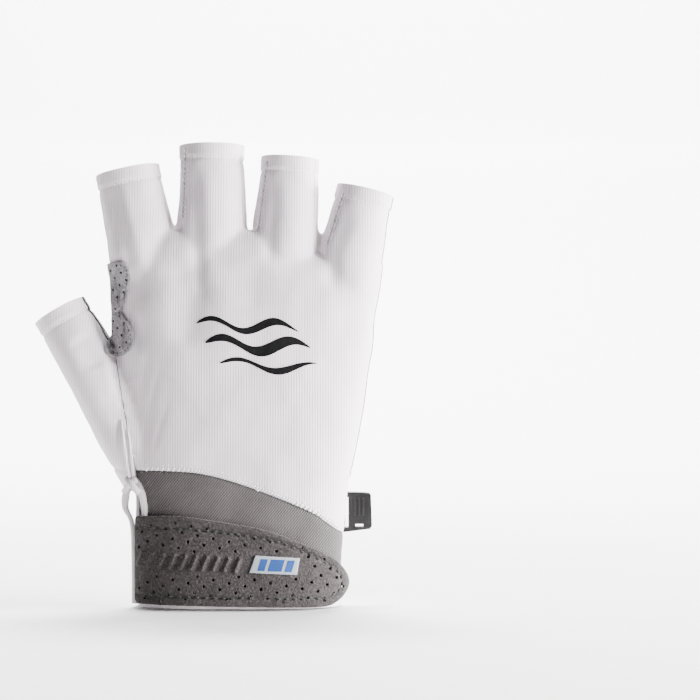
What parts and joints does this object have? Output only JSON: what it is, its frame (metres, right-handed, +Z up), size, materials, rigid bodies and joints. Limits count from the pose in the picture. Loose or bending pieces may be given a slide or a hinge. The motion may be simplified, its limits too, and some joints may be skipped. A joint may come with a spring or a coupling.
{
  "type": "fingerless fishing glove",
  "caption": "White fingerless fishing glove for the right hand, with a grey perforated suede palm, grey cuff gusset, closing strap and a small black buckle socket.",
  "frame": {"origin": "middle of the wrist opening, in the plane of the cuff's edge, where a hand goes in", "axes": "+Z up from the cuff to the fingertips, +Y from the back of the hand to the palm, +X from the thumb side to the little finger side"},
  "size_m": [0.1378, 0.0415, 0.1772],
  "materials": {
    "knit": "matte",
    "suede": "matte",
    "strap_suede": "matte",
    "twill": "matte",
    "binding": "matte",
    "label": "satin",
    "hook_tape": "matte",
    "webbing": "matte",
    "buckle_plastic": "satin"
  },
  "bodies": {
    "root": {"back_panel": "knit", "palm_panel": "suede", "thumb_piece": "knit", "side_strip_index_middle": "knit", "side_strip_middle_ring": "knit", "side_strip_ring_little": "knit", "cuff_gusset": "twill", "cuff_hem": "knit", "slit_binding": "binding", "thumb_crotch_patch": "suede", "closing_strap": "strap_suede", "hook_patch": "hook_tape", "strap_label": "label", "buckle_webbing": "webbing", "buckle_socket": "buckle_plastic"}
  },
  "joints": []
}
